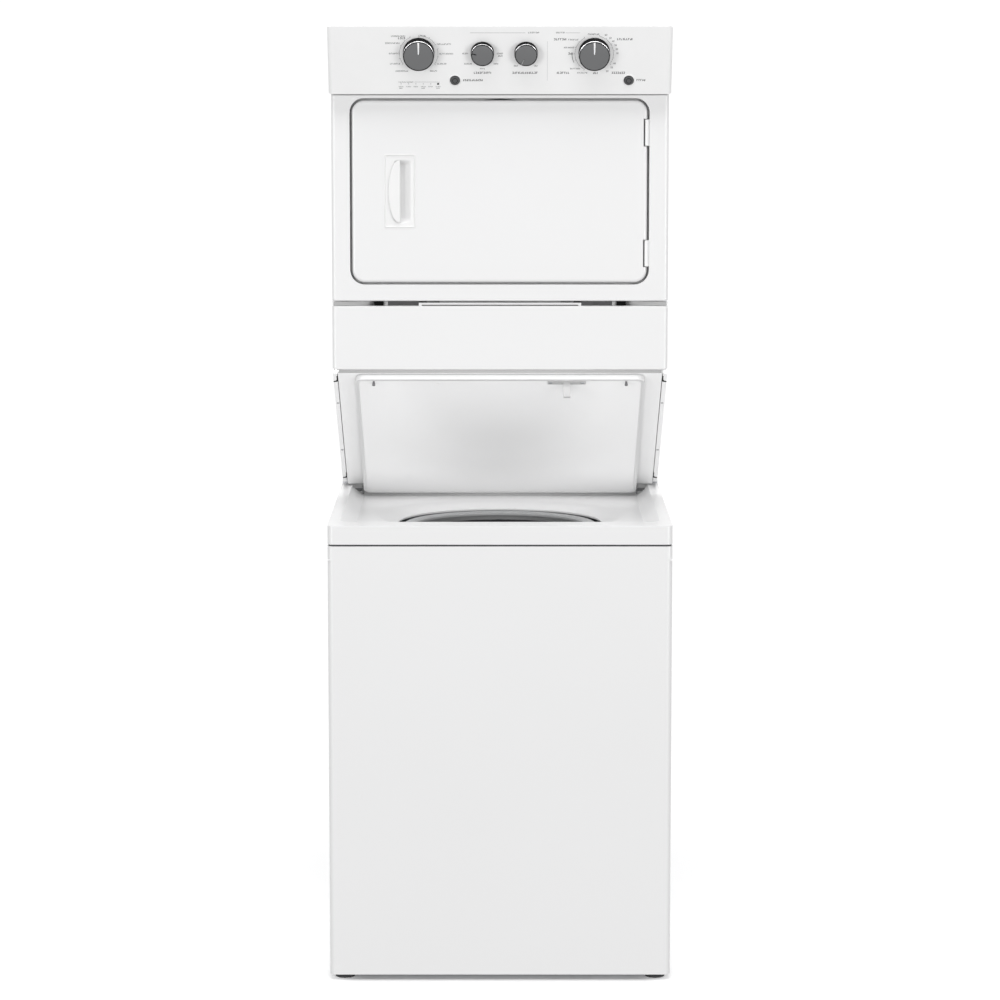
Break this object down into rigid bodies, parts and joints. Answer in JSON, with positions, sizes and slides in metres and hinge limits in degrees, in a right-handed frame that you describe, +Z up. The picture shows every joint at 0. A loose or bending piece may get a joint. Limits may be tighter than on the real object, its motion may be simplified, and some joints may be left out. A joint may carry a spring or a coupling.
{
  "type": "stacked washer and dryer",
  "caption": "Stacked laundry appliance: a top-loading washer with its lid raised, and a front-loading dryer over it on a rear stand, with a tilted control console on top.",
  "frame": {"origin": "on the floor, below the middle of the bounding box", "axes": "+X to the right, +Y to the back (the controls and the dryer door face -Y), +Z up"},
  "size_m": [0.692, 0.829, 1.924],
  "materials": {
    "white_paint": "gloss baked enamel",
    "white_plastic": "moulded, satin gloss",
    "knob_grey": "moulded grey with a bright ring",
    "button_grey": "moulded dark grey",
    "pale_plastic": "moulded pale grey",
    "dark_plastic": "moulded dark grey",
    "black_rubber": "matt rubber",
    "galvanised": "zinc-coated sheet",
    "stainless": "brushed stainless sheet",
    "cast_aluminium": "as cast"
  },
  "bodies": {
    "casing": {"washer_cabinet": "white_paint", "washer_rear_panel": "galvanised", "base_frame": "galvanised", "foot_front_left": "black_rubber", "foot_rear_left": "black_rubber", "foot_front_right": "black_rubber", "foot_rear_right": "black_rubber", "washer_top": "white_paint", "lid_lock": "dark_plastic", "suspension_rod_front_left": "galvanised", "suspension_rod_rear_left": "galvanised", "suspension_rod_front_right": "galvanised", "suspension_rod_rear_right": "galvanised", "inlet_valve": "dark_plastic", "stand_frame": "galvanised", "left_side_panel": "white_paint", "right_side_panel": "white_paint", "lid_recess_panel": "white_paint", "lower_front_panel": "white_paint", "dryer_front": "white_paint", "dryer_top": "white_paint", "dryer_rear_panel": "galvanised", "rear_bulkhead": "galvanised", "heater_box": "galvanised", "dryer_motor": "cast_aluminium", "blower_housing": "galvanised", "dryer_belt": "black_rubber", "door_hinge_upper": "white_plastic", "door_hinge_lower": "white_plastic", "console": "white_plastic"},
    "lid": {"lid_outer": "white_paint", "lid_inner": "white_paint", "lid_strike": "white_plastic", "lid_hinge_left": "knob_grey", "lid_hinge_right": "knob_grey"},
    "tub": {"outer_tub": "pale_plastic", "tub_ring": "pale_plastic", "gearcase": "cast_aluminium", "washer_motor": "cast_aluminium", "drain_pump": "dark_plastic", "washer_belt": "black_rubber"},
    "basket": {"wash_basket": "stainless", "balance_ring": "dark_plastic"},
    "agitator": {"agitator": "pale_plastic"},
    "spin_pulley": {"spin_pulley": "cast_aluminium"},
    "motor_pulley": {"motor_pulley": "cast_aluminium"},
    "drum": {"dryer_drum": "stainless"},
    "drum_roller_left": {"drum_roller_left": "black_rubber"},
    "drum_roller_right": {"drum_roller_right": "black_rubber"},
    "blower_wheel": {"blower_wheel": "pale_plastic"},
    "door": {"door_outer": "white_paint", "door_inner": "white_paint", "door_handle": "white_plastic"},
    "lint_screen": {"lint_screen": "pale_plastic"},
    "cycle_knob": {"cycle_knob": "knob_grey"},
    "temperature_knob": {"temperature_knob": "knob_grey"},
    "softener_knob": {"softener_knob": "knob_grey"},
    "timer_knob": {"timer_knob": "knob_grey"},
    "washer_start_button": {"washer_start_button": "button_grey"},
    "dryer_start_button": {"dryer_start_button": "button_grey"}
  },
  "joints": [
    {"name": "lid_hinge", "type": "hinge", "parent": "casing", "child": "lid", "pos_m": [0, 0.2395, 0.923], "axis": [1, 0, 0], "range_deg": [0, 33]},
    {"name": "tub_float", "type": "slide", "parent": "casing", "child": "tub", "axis": [0, 0, 1], "range_m": [-0.012, 0.012], "stiffness_N_per_m": 12000, "springref_m": 0.025},
    {"name": "basket_spin", "type": "hinge", "parent": "tub", "child": "basket", "pos_m": [0, -0.0595, 0.6], "axis": [0, 0, 1], "continuous": true},
    {"name": "agitator_turn", "type": "hinge", "parent": "basket", "child": "agitator", "pos_m": [0, -0.0595, 0.6], "axis": [0, 0, 1], "continuous": true},
    {"name": "spin_pulley_turn", "type": "hinge", "parent": "tub", "child": "spin_pulley", "pos_m": [0, -0.0595, 0.287], "axis": [0, 0, 1], "continuous": true},
    {"name": "motor_pulley_turn", "type": "hinge", "parent": "tub", "child": "motor_pulley", "pos_m": [0, 0.1155, 0.287], "axis": [0, 0, 1], "continuous": true},
    {"name": "drum_turn", "type": "hinge", "parent": "casing", "child": "drum", "pos_m": [0, 0.0855, 1.592], "axis": [0, 1, 0], "continuous": true},
    {"name": "roller_left_turn", "type": "hinge", "parent": "casing", "child": "drum_roller_left", "pos_m": [-0.1567, 0.3215, 1.32059], "axis": [0, 1, 0], "continuous": true},
    {"name": "roller_right_turn", "type": "hinge", "parent": "casing", "child": "drum_roller_right", "pos_m": [0.1567, 0.3215, 1.32059], "axis": [0, 1, 0], "continuous": true},
    {"name": "blower_turn", "type": "hinge", "parent": "casing", "child": "blower_wheel", "pos_m": [0.19, 0.1155, 1.172], "axis": [0, 1, 0], "continuous": true},
    {"name": "door_hinge", "type": "hinge", "parent": "casing", "child": "door", "pos_m": [0.298, -0.2115, 1.592], "axis": [0, 0, 1], "range_deg": [0, 110]},
    {"name": "lint_screen_slide", "type": "slide", "parent": "casing", "child": "lint_screen", "axis": [0, 0, 1], "range_m": [0, 0.2]},
    {"name": "cycle_knob_turn", "type": "hinge", "parent": "casing", "child": "cycle_knob", "pos_m": [-0.1631, -0.27652, 1.8715], "axis": [0, -0.9337, -0.358], "continuous": true},
    {"name": "temperature_knob_turn", "type": "hinge", "parent": "casing", "child": "temperature_knob", "pos_m": [-0.0353, -0.27652, 1.8715], "axis": [0, -0.9337, -0.358], "range_deg": [-150, 0]},
    {"name": "softener_knob_turn", "type": "hinge", "parent": "casing", "child": "softener_knob", "pos_m": [0.0522, -0.27652, 1.8715], "axis": [0, -0.9337, -0.358], "range_deg": [-120, 0]},
    {"name": "timer_knob_turn", "type": "hinge", "parent": "casing", "child": "timer_knob", "pos_m": [0.189, -0.27652, 1.8715], "axis": [0, -0.9337, -0.358], "continuous": true},
    {"name": "washer_start_press", "type": "slide", "parent": "casing", "child": "washer_start_button", "axis": [0, -0.9337, -0.358], "range_m": [-0.0025, 0], "stiffness_N_per_m": 600},
    {"name": "dryer_start_press", "type": "slide", "parent": "casing", "child": "dryer_start_button", "axis": [0, -0.9337, -0.358], "range_m": [-0.0025, 0], "stiffness_N_per_m": 600}
  ],
  "couplings": [
    {"joint": "spin_pulley_turn", "follows": "basket_spin", "ratio": 1},
    {"joint": "motor_pulley_turn", "follows": "basket_spin", "ratio": 4.125},
    {"joint": "roller_left_turn", "follows": "drum_turn", "ratio": -7.2368},
    {"joint": "roller_right_turn", "follows": "drum_turn", "ratio": -7.2368},
    {"joint": "blower_turn", "follows": "drum_turn", "ratio": 34.375}
  ]
}
